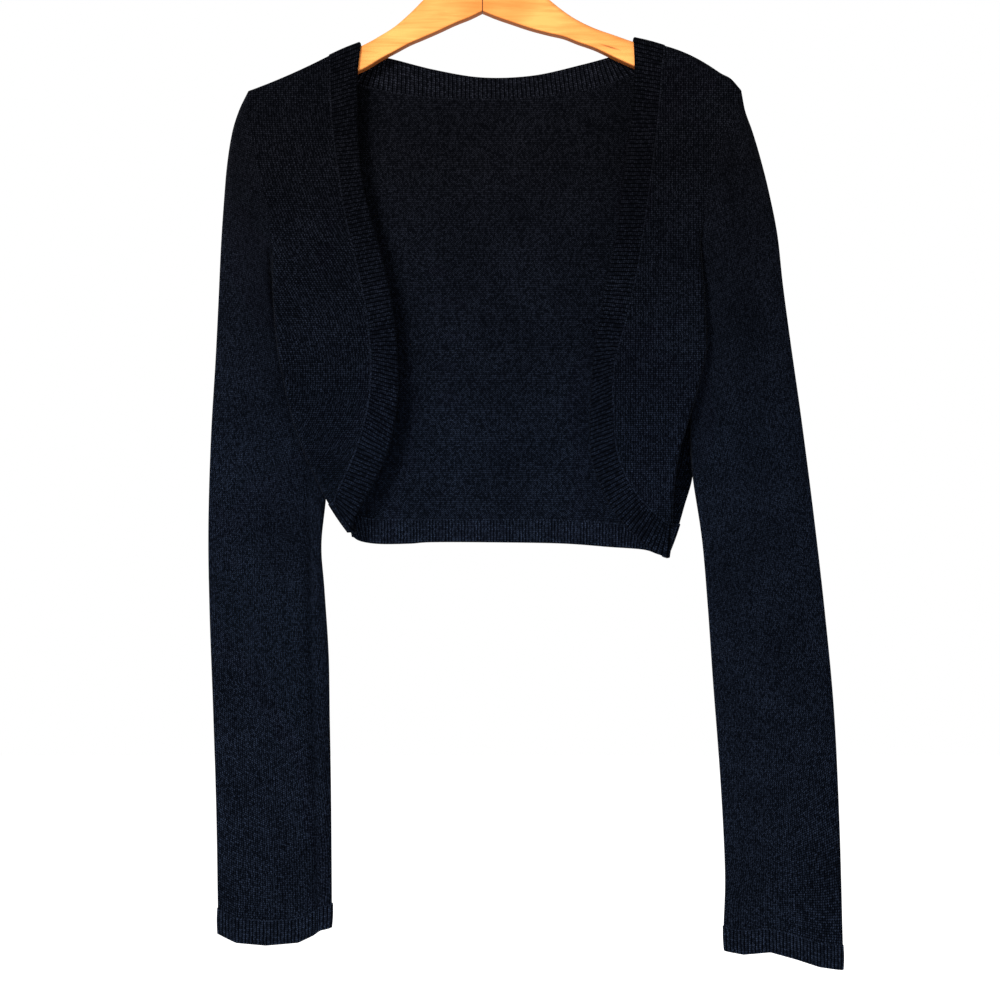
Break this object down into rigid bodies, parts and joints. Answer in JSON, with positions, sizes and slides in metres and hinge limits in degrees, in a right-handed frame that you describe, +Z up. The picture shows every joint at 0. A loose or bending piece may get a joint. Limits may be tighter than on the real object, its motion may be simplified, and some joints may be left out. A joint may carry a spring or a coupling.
{
  "type": "knitted shrug on a wooden hanger",
  "caption": "Black fine-gauge knitted bolero shrug, long sleeves and open rounded fronts with ribbed edges, hanging flat on a plain wooden hanger.",
  "frame": {"origin": "the top of the hook's inside, where the hanger rests on its rod", "axes": "+Z up, +X to the viewer's right and the wearer's left, the fronts face -Y"},
  "size_m": [0.4571, 0.0302, 0.8055],
  "materials": {
    "plain_knit": "matt fine-gauge plain knit, near black with a cool cast",
    "ribbed_knit": "matt ribbed knit of the same yarn",
    "hanger_wood": "smooth clear-lacquered orange-tan wood with fine grain along each arm",
    "hook_metal": "polished wire"
  },
  "bodies": {
    "root": {"hanger_arm_right": "hanger_wood", "hanger_arm_left": "hanger_wood", "hanger_hook": "hook_metal", "back": "plain_knit", "front_right": "plain_knit", "front_left": "plain_knit", "sleeve_right": "plain_knit", "sleeve_left": "plain_knit", "front_band_right": "ribbed_knit", "front_band_left": "ribbed_knit", "neck_band": "ribbed_knit", "hem_band": "ribbed_knit", "cuff_right": "ribbed_knit", "cuff_left": "ribbed_knit"}
  },
  "joints": []
}
